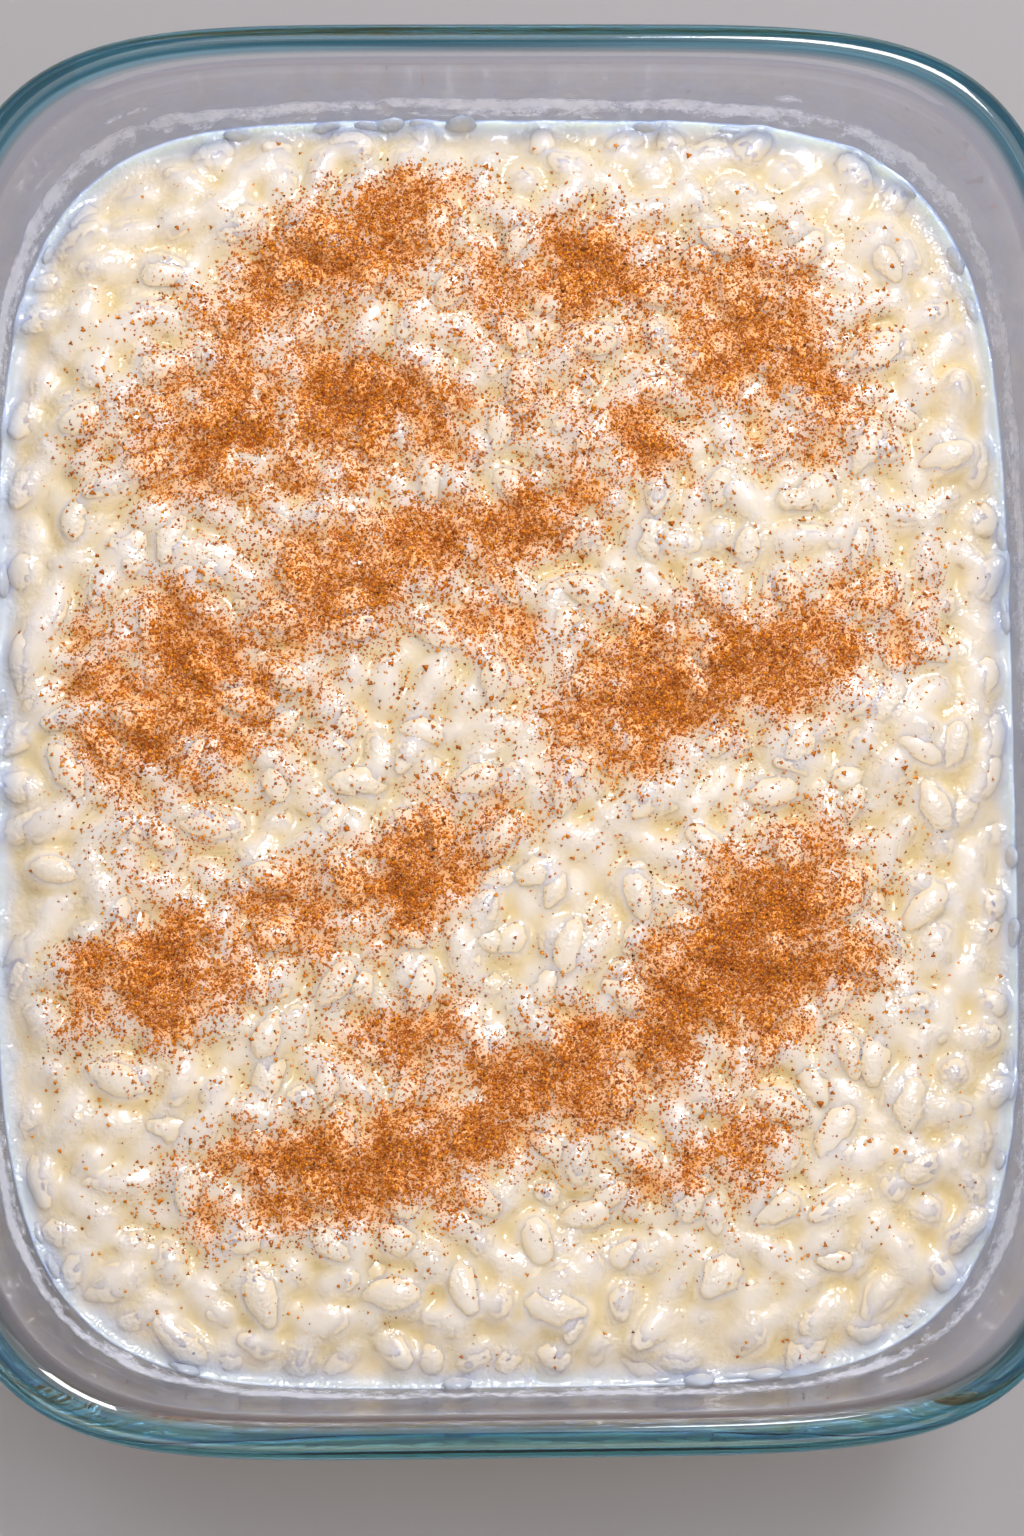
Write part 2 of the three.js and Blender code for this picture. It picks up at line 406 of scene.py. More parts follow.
def low_discrepancy(count, start=1):
    """Points spread evenly over the rectangle round the pudding, as the frame's solid spreads them."""
    half = wall_at(LEVEL)
    i = np.arange(start, start + count)
    x = ((0.5 + i * ACROSS_STEP) % 1 - 0.5) * 2 * half
    y = ((0.5 + i * ALONG_STEP) % 1 - 0.5) * 2 * (half + LENGTH_EXTRA)
    return i, x, y


def push_apart(x, y, distance, rounds):
    """Moves crowded points away from each other, and keeps them inside the pudding."""
    for _ in range(rounds):
        dx = x[:, None] - x[None, :]
        dy = y[:, None] - y[None, :]
        gap = np.hypot(dx, dy) + np.eye(len(x)) * 1e6
        push = np.clip(distance - gap, 0, None) / gap * 0.3
        x = x + (dx * push).sum(1)
        y = y + (dy * push).sum(1)
        far_out = np.clip(BED_MARGIN - inset_from_wall(x, y), 0, None) / np.maximum(np.hypot(x, y), 1)
        x = x * (1 - far_out)
        y = y * (1 - far_out)
    return x, y


def stirred(x, y):
    """Direction in which grains tend to lie after stirring."""
    return 0.6 + 1.3 * wander(x, y, 34, 5) + 0.7 * wander(x, y, 15, 6)


def lying(turn, tilt):
    """Axes, as columns, of grains that lie flat but for a small tilt: along, across and up."""
    along = np.stack([np.cos(turn) * np.cos(tilt), np.sin(turn) * np.cos(tilt), -np.sin(tilt)], axis=1)
    across = np.stack([-np.sin(turn), np.cos(turn), 0 * turn], axis=1)
    return np.stack([along, across, np.cross(along, across)], axis=2)


def bed_grains(rng):
    """The grains that lie in the milk, each with its middle, size and axes."""
    _, x, y = low_discrepancy(BED_GRAINS, start=900)
    inside = inset_from_wall(x, y) > 3.0
    x, y = push_apart(x[inside], y[inside], BED_DISTANCE, 12)
    count = len(x)
    whole = rng.uniform(0, 1, count) > 0.22
    length = np.where(whole, rng.uniform(8.4, 12.0, count), rng.uniform(5.0, 8.0, count))
    width = rng.uniform(4.4, 6.2, count) * np.where(whole, 1, 0.9)
    thick = width * rng.uniform(0.68, 0.86, count)
    turn = stirred(x, y) + rng.normal(0, 0.7, count)
    tilt = rng.normal(0, math.radians(12), count)
    rim = 1 - smooth_step(inset_from_wall(x, y), 4, 14)
    z = ground_at(x, y) + BED_RISE - thick / 2 + rng.uniform(-1.1, 0.7, count) - 0.6 * rim
    size = np.stack([length, width, thick], axis=1)
    return dict(middle=np.stack([x, y, z], axis=1), size=size, axes=lying(turn, tilt))


def top_grains(rng):
    """The loose grains on top: first those of the frame's solid, then more of the same."""
    i, x, y = low_discrepancy(400)
    inset = inset_from_wall(x, y)
    order = np.cumsum(inset > GRAIN_MARGIN)
    inside = (inset > GRAIN_MARGIN) & ((order <= FIXED_GRAINS) | (inset > BARE_MARGIN))
    i, x, y = [values[inside][: FIXED_GRAINS + EXTRA_GRAINS] for values in (i, x, y)]
    more = slice(FIXED_GRAINS, None)
    count = len(x)
    along = np.minimum(np.arange(count) / FIXED_GRAINS, 1)
    size = np.outer(1 - along, GRAIN_LONGEST) + np.outer(along, GRAIN_SHORTEST)
    size[more] *= rng.uniform(0.85, 1.3, (count - FIXED_GRAINS, 1))
    turn = i * TURN_STEP
    turn[more] = stirred(x[more], y[more]) + rng.normal(0, 0.7, count - FIXED_GRAINS)
    rise = np.full(count, GRAIN_RISE)
    rise[more] += rng.uniform(-0.8, 0.1, count - FIXED_GRAINS)
    z = ground_at(x, y) + rise
    tilt = GRAIN_TILT * np.sin(i * 2.4)
    return dict(middle=np.stack([x, y, z], axis=1), size=size, axes=lying(turn, tilt))


def outward(x, y, half, n):
    """Level direction that points straight out of the outline of that half-width."""
    across = np.sign(x) * np.abs(x / half) ** (n - 1) / half
    along = np.sign(y) * np.abs(y / (half + LENGTH_EXTRA)) ** (n - 1) / (half + LENGTH_EXTRA)
    norm = np.hypot(across, along)
    return across / norm, along / norm


def wall_grains(rng):
    """Grains that lie against the glass, seen through the dish's sides."""
    side = np.array(cream_side())
    run = np.concatenate([[0], np.cumsum(np.hypot(*np.diff(side, axis=0).T))])
    row, column = [cell.ravel() for cell in np.meshgrid(range(WALL_ROWS), range(WALL_COLUMNS))]
    at = (row + rng.uniform(0.1, 0.9, len(row))) / WALL_ROWS * run[-1]
    radius, z = np.interp(at, run, side[:, 0]), np.interp(at, run, side[:, 1])
    step = np.interp(at + 0.5, run, side[:, 0]) - radius, np.interp(at + 0.5, run, side[:, 1]) - z
    lean = np.arctan2(step[0], -step[1])
    angle = crowded(2 * math.pi * (column + row / 2 + rng.uniform(0, 0.8, len(row))) / WALL_COLUMNS)
    x, y = on_outline(radius, z, np.cos(angle), np.sin(angle))
    nx, ny = outward(x, y, radius, squareness(z))
    normal = np.stack([nx * np.cos(lean), ny * np.cos(lean), np.sin(lean)], axis=1)
    level = np.stack([-ny, nx, 0 * nx], axis=1)
    return against_glass(np.stack([x, y, z], axis=1), normal, level, rng)


def floor_grains(rng):
    """Grains that lie on the glass floor, seen from below."""
    k = np.arange(FLOOR_GRAINS)
    x = ((k * ACROSS_STEP) % 1 - 0.5) * 2 * FLOOR_HALF
    y = ((k * ALONG_STEP) % 1 - 0.5) * 2 * (FLOOR_HALF + LENGTH_EXTRA)
    places = np.stack([x, y, 0 * x + FLOOR - REACH], axis=1)
    down = np.tile([0.0, 0.0, -1.0], (len(k), 1))
    level = np.tile([1.0, 0.0, 0.0], (len(k), 1))
    return against_glass(places, down, level, rng)


def against_glass(places, normal, level, rng):
    """Flattened grains that stand out of the milk's side just far enough to show."""
    count = len(places)
    length, width = rng.uniform(7, 10, count), rng.uniform(3.6, 5.0, count)
    size = np.stack([length, width, np.full(count, GLASS_GRAIN_THICKNESS)], axis=1)
    upright = np.cross(normal, level)
    turn = rng.uniform(0, math.pi, (count, 1))
    along = level * np.cos(turn) + upright * np.sin(turn)
    across = np.cross(normal, along)
    proud = rng.uniform(0.14, 0.4, (count, 1))
    middle = places + normal * (proud - size[:, 2:] / 2)
    return dict(middle=middle, size=size, axes=np.stack([along, across, normal], axis=2))


# -------------------------------- rice


def model_grain(segments, rings):
    """One cooked grain, a unit long, wide and thick, with one blunt end and one that tapers."""
    deselect_all()
    bpy.ops.mesh.primitive_uv_sphere_add(segments=segments, ring_count=rings, radius=MM / 2)
    grain = bpy.context.object
    bpy.ops.object.mode_set(mode="EDIT")
    bpy.ops.transform.rotate(value=math.pi / 2, orient_axis="Y", center_override=(0, 0, 0))
    bpy.ops.mesh.quads_convert_to_tris()
    for end, width in ((1, 1.12), (-1, 0.88)):
        bpy.ops.mesh.select_all(action="DESELECT")
        bpy.ops.object.mode_set(mode="OBJECT")
        for vertex in grain.data.vertices:
            vertex.select = end * vertex.co.x > 0.24 * MM
        bpy.ops.object.mode_set(mode="EDIT")
        bpy.ops.transform.resize(value=(1, width, width), center_override=(0, 0, 0))
    bpy.ops.mesh.select_all(action="SELECT")
    bpy.ops.mesh.normals_make_consistent(inside=False)
    bpy.ops.object.mode_set(mode="OBJECT")
    corners, triangles = corners_of(grain), triangles_of(grain)
    bpy.data.objects.remove(grain)
    return corners, triangles


def cooked(corners, count, rng):
    """Copies of a unit grain, each bent, twisted, tapered and dented in its own way."""
    x, y, z = [np.repeat(corners[None, :, k], count, axis=0) for k in range(3)]
    bend, taper, hump, twist, dent = rng.normal(0, 1, (5, count, 1))
    phase, other = rng.uniform(0, 6.3, (2, count, 1))
    full = 1.08 + 0.16 * taper * x - 0.8 * x * x + 0.06 * np.sin(11 * x + phase)
    lumps = 1 + 0.07 * dent * np.sin(8 * x + 5 * y + phase) * np.cos(7 * z + other)
    y, z = y * full * lumps, z * full * lumps
    y = y + 0.24 * bend * (x * x - 0.1)
    z = z + 0.12 * hump * (x * x - 0.1)
    c, s = np.cos(0.5 * twist * x), np.sin(0.5 * twist * x)
    return np.stack([x, y * c - z * s, y * s + z * c], axis=2)


def make_grains(name, pattern, grains, rng):
    """A set of grains: its name, and each grain's corners, its triangles and its tone."""
    corners, triangles = pattern
    count = len(grains["middle"])
    local = cooked(corners, count, rng) * grains["size"][:, None]
    placed = np.einsum("nij,nkj->nki", grains["axes"], local) + grains["middle"][:, None]
    faces = triangles[None] + (np.arange(count) * len(corners))[:, None, None]
    return name, placed, faces, rng.uniform(0, 1, count)


def joined(name, sets):
    """Several sets of the same grain as one."""
    placed = np.concatenate([made[1] for made in sets])
    faces = sets[0][2][:1] + (np.arange(len(placed)) * placed.shape[1])[:, None, None]
    return name, placed, faces, np.concatenate([made[3] for made in sets])


def grain_piece(made, keep=None):
    """One object of all the grains made, or of those to keep."""
    name, placed, faces, tone = made
    if keep is not None:
        placed, tone = placed[keep], tone[keep]
        faces = faces[: len(placed)]
    obj = piece_from(name, placed.reshape(-1, 3), faces.reshape(-1, 3))
    add_attribute(obj, "tone", np.repeat(tone, placed.shape[1]))
    smooth(obj)
    return obj


# -------------------------------- relief between and over the grains


def raster_places():
    half = wall_at(LEVEL) + RASTER_MARGIN
    x = np.arange(-half, half + RASTER, RASTER)
    y = np.arange(-half - LENGTH_EXTRA, half + LENGTH_EXTRA + RASTER, RASTER)
    return np.meshgrid(x, y, indexing="ij")


def read_raster(raster, x, y):
    """A raster's value at any place, from the four points round it."""
    half = wall_at(LEVEL) + RASTER_MARGIN
    across = np.clip((x + half) / RASTER, 0, raster.shape[0] - 1.001)
    along = np.clip((y + half + LENGTH_EXTRA) / RASTER, 0, raster.shape[1] - 1.001)
    i, j = across.astype(int), along.astype(int)
    u, v = across - i, along - j
    near = raster[i, j] * (1 - u) + raster[i + 1, j] * u
    far = raster[i, j + 1] * (1 - u) + raster[i + 1, j + 1] * u
    return near * (1 - v) + far * v


def tree_of(*meshes):
    """A search tree over meshes given as corners and triangles."""
    corners, triangles, start = [], [], 0
    for points, faces in meshes:
        corners.append(points.reshape(-1, 3))
        triangles.append(faces.reshape(-1, 3) + start)
        start += len(corners[-1])
    return BVHTree.FromPolygons(np.concatenate(corners).tolist(), np.concatenate(triangles).tolist())


def heights_under(tree, x, y, where_none):
    """Height and number of the first face below each place, or the height given and -1."""
    down = Vector((0, 0, -1))
    heights = np.array(where_none, float)
    faces = np.full(heights.shape, -1)
    for k, (px, py) in enumerate(zip(x.flat, y.flat)):
        hit, _, face, _ = tree.ray_cast(Vector((px, py, 70.0)), down)
        if hit is not None and hit.z > heights.flat[k]:
            heights.flat[k] = hit.z
            faces.flat[k] = face
    return heights, faces


def blur(field, millimetres):
    """Softens a raster as if each point were spread over that distance."""
    for _ in range(round(2 * (millimetres / RASTER) ** 2)):
        padded = np.pad(field, 1, mode="edge")
        field = (padded[:-2, 1:-1] + padded[2:, 1:-1] + padded[1:-1, :-2] + padded[1:-1, 2:]) / 4
    return field


def widened(field, cells):
    """A raster in which every height spreads that many cells round its place."""
    width = range(-cells, cells + 1)
    shifts = [(i, j) for i in width for j in width if i * i + j * j <= cells * cells + 1]
    return np.maximum.reduce([np.roll(field, shift, axis=(0, 1)) for shift in shifts])


def milk_heights(bed_tops, all_tops, tones, x, y):
    """Milk that fills the hollows between the grains, and lies over most of them as a skin."""
    inset = inset_from_wall(x, y)
    rim = 0.1 * (1 - smooth_step(inset, 3, 13))
    uneven = 0.3 * wander(x, y, 12, 21) + 0.2 * wander(x, y, 3.6, 22)
    fillets = blur(all_tops, 0.9) + 0.04 + uneven + rim
    skin = blur(bed_tops, 0.5) + np.where(tones > BARE_TONE, -BARE_STAND, SKIN)
    flanks = widened(all_tops, 2) - FLANK_DROP
    low = ground_at(x, y) - 0.2 + 0.25 * wander(x, y, 4.3, 24) + rim
    milk = blur(np.maximum.reduce([fillets, skin, flanks, low]), 0.4)
    milk = milk + 0.06 * wander(x, y, 1.5, 23) + 0.03 * wander(x, y, 1.0, 27)
    return milk - GLASS_DIP * (1 - smooth_step(inset, 1.5, 6))


# -------------------------------- milk and cream


def cream_side():
    """Half-widths and heights down the pudding's side and round its lower corner."""
    low = fillet(REACH, FLOOR - REACH, INNER_FILLET, 5)[::-1]
    heights = np.linspace(LEVEL - 1, low[0][1], SIDE_RINGS - len(low) + 1)[:-1]
    return [(wall_at(z, REACH), z) for z in heights] + low


def cream_block():
    """A grid whose rim is extruded down ring by ring and closed, one millimetre down for each ring."""
    deselect_all()
    bpy.ops.mesh.primitive_grid_add(x_subdivisions=CREAM_CELLS[0], y_subdivisions=CREAM_CELLS[1], size=2 * MM)
    cream = bpy.context.object
    cream.name = "pudding_cream"
    bpy.ops.object.mode_set(mode="EDIT")
    bpy.ops.mesh.select_all(action="DESELECT")
    bpy.ops.mesh.select_mode(type="EDGE")
    bpy.ops.mesh.select_non_manifold()
    for _ in cream_side():
        bpy.ops.mesh.extrude_edges_move(TRANSFORM_OT_translate={"value": (0, 0, -MM)})
    bpy.ops.mesh.edge_face_add()
    bpy.ops.mesh.select_all(action="SELECT")
    bpy.ops.mesh.normals_make_consistent(inside=False)
    bpy.ops.object.mode_set(mode="OBJECT")
    return cream


def cream_top(u, v, milk):
    """Places the grid's top on the pudding's outline and gives it the milk's height."""
    z_edge = LEVEL + MENISCUS
    n = squareness(z_edge)
    norm = np.maximum((np.abs(u) ** n + np.abs(v) ** n) ** (1 / n), 1e-9)
    share = np.maximum(np.abs(u), np.abs(v)) / norm
    half = wall_at(z_edge, REACH)
    x = half * u * share
    y = (half + LENGTH_EXTRA) * v * share
    climb = MENISCUS * np.exp(-inset_from_wall(x, y) / MENISCUS_WIDTH)
    return np.stack([x, y, read_raster(milk, x, y) + climb], axis=1)


def make_cream(milk, tones):
    cream = cream_block()
    raw = corners_of(cream)
    ring = np.rint(-raw[:, 2]).astype(int)
    u, v = raw[:, 0], raw[:, 1]
    placed = np.zeros_like(raw)
    placed[ring == 0] = cream_top(u[ring == 0], v[ring == 0], milk)
    for k, (radius, z) in enumerate(cream_side(), start=1):
        here = ring == k
        x, y = on_outline(radius, z, u[here], v[here])
        placed[here] = np.stack([x, y, np.full(here.sum(), z)], axis=1)
    set_corners(cream, placed)
    add_attribute(cream, "tone", read_raster(tones, placed[:, 0], placed[:, 1]))
    smooth(cream)
    return cream


# -------------------------------- cinnamon


def dusting_at(x, y):
    """How thickly the cinnamon lies, from 0 to about 1."""
    stray_x = x + 2.2 * wander(x, y, 6, 31) + 1.0 * wander(x, y, 2.4, 32)
    stray_y = y + 2.2 * wander(x, y, 6, 33) + 1.0 * wander(x, y, 2.4, 34)
    total = np.zeros_like(x)
    for middle_x, middle_y, half_length, half_width, degrees, strength in CINNAMON_PATCHES:
        c, s = math.cos(math.radians(degrees)), math.sin(math.radians(degrees))
        dx, dy = stray_x - middle_x, stray_y - middle_y
        along = (dx * c + dy * s) / half_length
        across = (dy * c - dx * s) / half_width
        spread = along**2 + across**2
        total += strength * (0.68 * np.exp(-(spread**1.2)) + 0.07 * np.exp(-0.45 * spread))
    clumps = 0.85 + 0.5 * wander(x, y, 4.2, 35) + 0.4 * wander(x, y, 1.6, 36)
    inset = inset_from_wall(x, y)
    spill = 0.014 * (1 + wander(x, y, 11, 37)) * smooth_step(inset, 7, 20) + 0.008
    dusting = total * clumps * smooth_step(inset, 4, 12) + spill
    return np.clip(dusting, 0, 1.2) * smooth_step(inset, 0.5, 6)


def scatter(rng, count, power):
    """Random places on the pudding in small clusters, crowded where the cinnamon lies thickly."""
    half = wall_at(LEVEL)
    clusters = []
    found = 0
    while found < count / 5:
        x = rng.uniform(-half, half, 100000)
        y = rng.uniform(-half - LENGTH_EXTRA, half + LENGTH_EXTRA, 100000)
        keep = rng.uniform(0, 1, len(x)) < dusting_at(x, y) ** power
        clusters.append(np.stack([x[keep], y[keep]], axis=1))
        found += keep.sum()
    clusters = np.concatenate(clusters)
    places = clusters[rng.integers(0, len(clusters), 2 * count)] + rng.normal(0, 0.8, (2 * count, 2))
    inside = inset_from_wall(*places.T) > 1.5
    return places[inside][:count]


def landed(places, tree):
    """Where powder that falls on each place comes to rest."""
    x, y = places.T
    return np.stack([x, y, heights_under(tree, x, y, np.full(len(x), LEVEL - 3))[0]], axis=1)


def random_turns(rng, count):
    """One random rotation matrix for each speck."""
    q = rng.normal(0, 1, (count, 4))
    w, x, y, z = (q / np.linalg.norm(q, axis=1, keepdims=True)).T
    rows = [
        [1 - 2 * (y * y + z * z), 2 * (x * y - z * w), 2 * (x * z + y * w)],
        [2 * (x * y + z * w), 1 - 2 * (x * x + z * z), 2 * (y * z - x * w)],
        [2 * (x * z - y * w), 2 * (y * z + x * w), 1 - 2 * (x * x + y * y)],
    ]
    return np.array(rows).transpose(2, 0, 1)


TETRAHEDRON = np.array([(1, 1, 1), (1, -1, -1), (-1, 1, -1), (-1, -1, 1)]) / math.sqrt(3) / 2
TETRAHEDRON_FACES = np.array([(0, 1, 2), (0, 3, 1), (0, 2, 3), (1, 3, 2)])


def make_cinnamon(name, rng, tree, count, small, large, power, material):
    """Specks of powder: small uneven tetrahedra, half sunk where they fell."""
    points = landed(scatter(rng, count, power), tree)
    size = small + (large - small) * rng.uniform(0, 1, count) ** 2.2
    uneven = TETRAHEDRON[None] * rng.uniform(0.6, 1.3, (count, 4, 1)) * size[:, None, None]
    corners = np.einsum("nij,nkj->nki", random_turns(rng, count), uneven)
    corners[:, :, 2] *= 0.75
    corners += points[:, None]
    corners[:, :, 2] += 0.12 * size[:, None]
    faces = TETRAHEDRON_FACES[None] + (np.arange(count) * 4)[:, None, None]
    obj = piece_from(name, corners.reshape(-1, 3), faces.reshape(-1, 3))
    add_attribute(obj, "tone", np.repeat(rng.uniform(0, 1, count), 4))
    return finish_piece(obj, material, "cinnamon")


# -------------------------------- milk film on the glass


def film_amount(above, degrees):
    """How much dried milk there is at a height above the milk's edge: a band, and stray smears."""
    amount = smooth_step(above, 1.2, 2.2) * (0.45 + 0.5 * smooth_step(above, 3.4, 5.2))
    amount = amount * (1 - smooth_step(above, 6.2, 7.6))
    for at, height in FILM_SMEARS:
        far = ((degrees - at) / 2.6) ** 2 + ((above - height) / 0.9) ** 2
        amount = np.maximum(amount, 0.9 * np.exp(-far))
    return amount


def film_rings():
    """Rings of corners up the film's back and then up its face, with the amount of milk at each corner."""
    angle = crowded(np.linspace(-math.pi, math.pi, FILM_STEPS, endpoint=False))
    c, s = np.cos(angle), np.sin(angle)
    around = np.linspace(0, 1, FILM_STEPS, endpoint=False) * 620
    ragged = 0.7 * wander(around, 0 * around, 24, 51) + 0.5 * wander(around, 0 * around, 5, 52)
    thick = 0.85 + 0.3 * wander(around, 0 * around, 9, 53)
    rings, amounts = [], []
    for inset in FILM_INSETS:
        for row in range(FILM_ROWS + 1):
            z = LEVEL + FILM_START + FILM_HEIGHT * row / FILM_ROWS + 0 * c
            x, y = on_outline(wall_at(z, -inset), z, c, s)
            rings.append(np.stack([x, y, z], axis=1))
            amounts.append(film_amount(z - LEVEL + ragged, np.degrees(angle)) * thick)
    return np.concatenate(rings), np.concatenate(amounts)


def make_milk_film(material):
    """A thin ragged band of dried milk on the glass, a little above the pudding."""
    corners, amounts = film_rings()
    loop = list(range(FILM_ROWS + 1)) + list(range(2 * FILM_ROWS + 1, FILM_ROWS, -1))
    k = np.arange(FILM_STEPS)
    following = (k + 1) % FILM_STEPS
    triangles = []
    for first, second in zip(loop, loop[1:] + loop[:1]):
        a, b = first * FILM_STEPS + k, first * FILM_STEPS + following
        d, e = second * FILM_STEPS + k, second * FILM_STEPS + following
        triangles += [np.stack([a, b, e], axis=1), np.stack([a, e, d], axis=1)]
    film = piece_from("milk_film", corners, np.concatenate(triangles))
    add_attribute(film, "amount", amounts)
    smooth(film)
    return finish_piece(film, material, "milk_film")


# -------------------------------- material helpers


def feed(tree, socket, value):
    """Links a socket to another, or sets its plain value."""
    if isinstance(value, bpy.types.NodeSocket):
        tree.links.new(value, socket)
    else:
        socket.default_value = value


def feed_all(tree, sockets, **values):
    """Feeds several sockets by name, with an underscore for each space."""
    for name, value in values.items():
        feed(tree, sockets[name.replace("_", " ")], value)


def maths(tree, operation, *values):
    made = tree.nodes.new("ShaderNodeMath")
    made.operation = operation
    for socket, value in zip(made.inputs, values):
        feed(tree, socket, value)
    return made.outputs[0]


def blend_colours(tree, share, first, second, how="MIX"):
    made = tree.nodes.new("ShaderNodeMix")
    made.data_type = "RGBA"
    made.blend_type = how
    made.clamp_factor = True
    feed(tree, made.inputs[0], share)
    feed(tree, made.inputs[6], first)
    feed(tree, made.inputs[7], second)
    return made.outputs[2]


def ramp(tree, value, low, high, bottom=0.0, top=1.0):
    made = tree.nodes.new("ShaderNodeMapRange")
    made.interpolation_type = "SMOOTHSTEP"
    feed_all(tree, made.inputs, Value=value, From_Min=low, From_Max=high, To_Min=bottom, To_Max=top)
    return made.outputs[0]


def noise(tree, place, per_metre, detail=2.0, rough=0.5):
    made = tree.nodes.new("ShaderNodeTexNoise")
    feed_all(tree, made.inputs, Vector=place, Scale=per_metre, Detail=detail, Roughness=rough)
    return made.outputs[0]


def random_in_cells(tree, place, per_metre):
    """Two random values in each cell of a cell pattern."""
    made = tree.nodes.new("ShaderNodeTexVoronoi")
    feed_all(tree, made.inputs, Vector=place, Scale=per_metre)
    split = tree.nodes.new("ShaderNodeSeparateColor")
    feed(tree, split.inputs[0], made.outputs["Color"])
    return split.outputs[0], split.outputs[1]


def attribute(tree, name):
    made = tree.nodes.new("ShaderNodeAttribute")
    made.attribute_name = name
    return made.outputs["Fac"]


def new_group(name, inputs, outputs):
    """An empty node group with named inputs, each with its kind and value, and named outputs."""
    tree = bpy.data.node_groups.new(name, "ShaderNodeTree")
    for label, (kind, value) in inputs.items():
        socket = tree.interface.new_socket(label, in_out="INPUT", socket_type=kind)
        if value is not None:
            socket.default_value = value
    for label, kind in outputs.items():
        tree.interface.new_socket(label, in_out="OUTPUT", socket_type=kind)
    return tree, tree.nodes.new("NodeGroupInput").outputs, tree.nodes.new("NodeGroupOutput").inputs


def use_group(tree, group, **values):
    made = tree.nodes.new("ShaderNodeGroup")
    made.node_tree = group
    feed_all(tree, made.inputs, **values)
    return made.outputs


def add_bump(tree, shader, height, distance, strength):
    bump = tree.nodes.new("ShaderNodeBump")
    feed_all(tree, bump.inputs, Height=height, Distance=distance, Strength=strength)
    feed(tree, shader.inputs["Normal"], bump.outputs[0])


def new_material(name):
    material = bpy.data.materials.new(name)
    material.use_nodes = True
    tree = material.node_tree
    shader = tree.nodes["Principled BSDF"]
    place = tree.nodes.new("ShaderNodeTexCoord").outputs["Object"]
    return material, tree, shader, place


FLOAT, COLOUR, VECTOR = "NodeSocketFloat", "NodeSocketColor", "NodeSocketVector"


def wet_relief_group():
    """Height of the fine lumps of a wet, starchy surface, which stand thicker in patches."""
    inputs = {"Place": (VECTOR, None), "Lumps per metre": (FLOAT, 1200.0)}
    tree, given, out = new_group("wet_relief", inputs, {"Height": FLOAT})
    lumps = noise(tree, given["Place"], given["Lumps per metre"], 1.0)
    patches = ramp(tree, noise(tree, given["Place"], 190.0, 0.0), 0.4, 0.6, 0.25, 1.0)
    feed(tree, out["Height"], maths(tree, "MULTIPLY", lumps, patches))
    return tree


def dusting_group():
    """Cinnamon too fine to be separate specks: a stain, and crumbs in cells."""
    inputs = {"Place": (VECTOR, None), "Dusting": (FLOAT, 0.0), "Under": (COLOUR, (1, 1, 1, 1))}
    tree, given, out = new_group("fine_dusting", inputs, {"Colour": COLOUR, "Dry": FLOAT})
    stain = ramp(tree, given["Dusting"], 0.06, 0.7, 0.0, 0.9)
    colour = blend_colours(tree, stain, given["Under"], STAIN)
    crumbs = 0.0
    limit = maths(tree, "MULTIPLY", maths(tree, "SUBTRACT", given["Dusting"], 0.07), 0.42)
    for per_metre in (2700.0, 4400.0):
        chance, shade = random_in_cells(tree, given["Place"], per_metre)
        crumb = maths(tree, "LESS_THAN", chance, limit)
        colour = blend_colours(tree, crumb, colour, blend_colours(tree, shade, *CRUMBS))
        crumbs = maths(tree, "MAXIMUM", crumb, crumbs)
    feed(tree, out["Colour"], colour)
    feed(tree, out["Dry"], maths(tree, "MAXIMUM", crumbs, stain))
    return tree


# -------------------------------- materials


def glass_material():
    """Clear pressed glass, teal in its thick rim, with pale streaks painted along the bead as the light lines
    that refraction draws there, and a dim tint painted on its inner faces as shade.
    """
    material, tree, shader, place = new_material("clear_glass")
    run = tree.nodes.new("ShaderNodeMapping")
    feed(tree, run.inputs["Vector"], place)
    run.inputs["Scale"].default_value = (9.0, 9.0, 0.0)
    lift = tree.nodes.new("ShaderNodeCombineXYZ")
    feed(tree, lift.inputs[2], maths(tree, "MULTIPLY", attribute(tree, "turn"), 3.4))
    along = tree.nodes.new("ShaderNodeVectorMath")
    feed(tree, along.inputs[0], run.outputs[0])
    feed(tree, along.inputs[1], lift.outputs[0])
    # painted light: noise stretched along the bead lays pale streaks over the deep teal tint
    painted_line_mask = ramp(tree, noise(tree, along.outputs[0], 1.0, 3.0), 0.44, 0.76)
    bead = blend_colours(tree, painted_line_mask, RIM_DEEP, RIM_PAINTED_LIGHT_LINES)
    # painted shade on the inner faces; the outer faces stay nearly clear
    wall = blend_colours(tree, attribute(tree, "outside"), INNER_GLASS_PAINTED_DIM, OUTER_GLASS)
    waves = noise(tree, place, 28.0, 1.0)
    feed_all(
        tree,
        shader.inputs,
        Base_Color=blend_colours(tree, attribute(tree, "tint"), wall, bead),
        Transmission_Weight=1.0,
        IOR=1.5,
        Roughness=ramp(tree, waves, 0.3, 0.8, 0.0, 0.03),
    )
    add_bump(tree, shader, waves, 0.0006, 0.12)
    let_light_through(tree, shader)
    return material


def let_light_through(tree, shader):
    """Glass that throws no dark shadow, so that what it holds is lit from the sides too."""
    clear = tree.nodes.new("ShaderNodeBsdfTransparent")
    clear.inputs["Color"].default_value = GLASS_SHADE
    either = tree.nodes.new("ShaderNodeMixShader")
    feed(tree, either.inputs[0], tree.nodes.new("ShaderNodeLightPath").outputs["Is Shadow Ray"])
    feed(tree, either.inputs[1], shader.outputs[0])
    feed(tree, either.inputs[2], clear.outputs[0])
    feed(tree, tree.nodes["Material Output"].inputs["Surface"], either.outputs[0])


